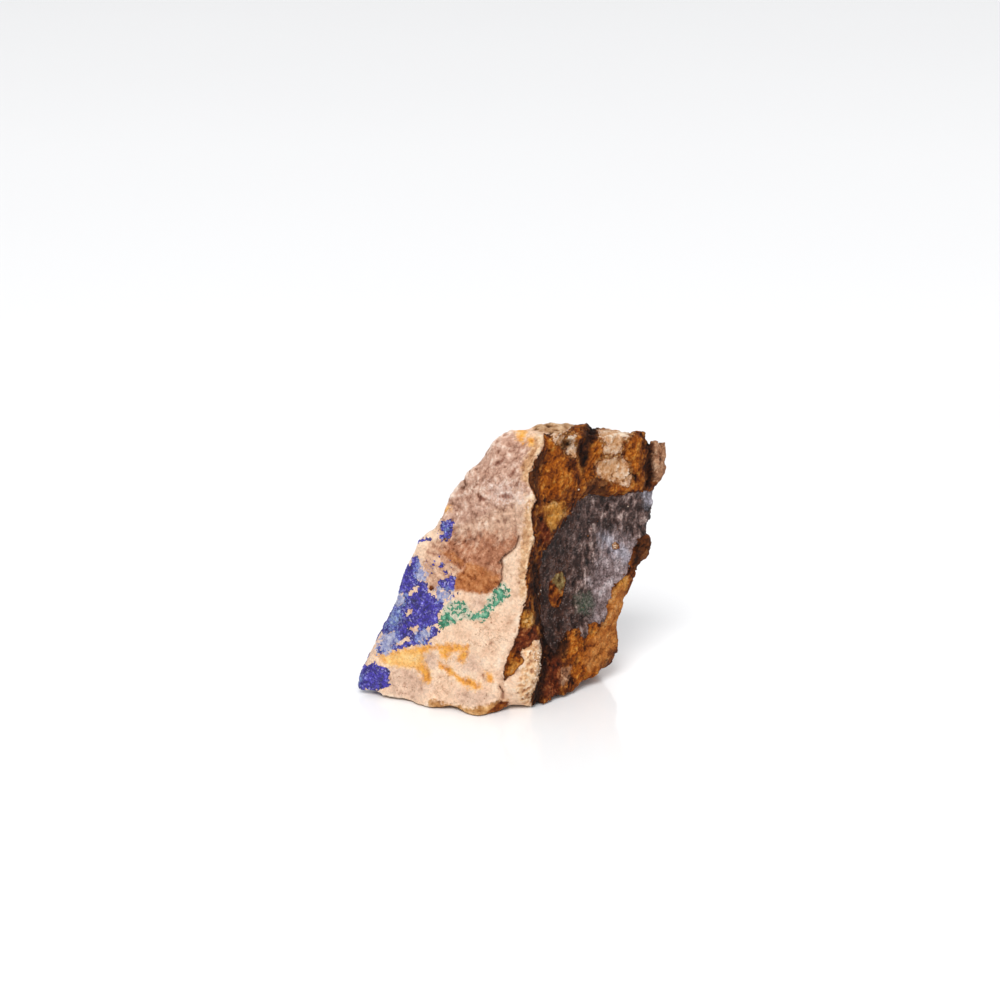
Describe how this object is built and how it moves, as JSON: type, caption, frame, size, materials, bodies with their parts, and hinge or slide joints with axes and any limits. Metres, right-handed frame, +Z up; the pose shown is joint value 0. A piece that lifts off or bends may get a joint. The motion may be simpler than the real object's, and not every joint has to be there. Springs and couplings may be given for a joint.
{
  "type": "azurite malachite specimen",
  "caption": "Broken wedge of pale rock with azurite and malachite on its broad front face and a smooth goethite plate beside a tall crest, resting on its flat underside.",
  "frame": {"origin": "middle of the bounding box in plan, on the plane the stone rests on", "axes": "+X along the width, towards the overhanging top corner; +Y to the broken back; +Z up"},
  "size_m": [0.0706, 0.0478, 0.0627],
  "materials": {
    "carbonate_matrix": "matte",
    "azurite": "satin",
    "malachite": "matte"
  },
  "bodies": {
    "root": {"stone": "carbonate_matrix"}
  },
  "joints": []
}
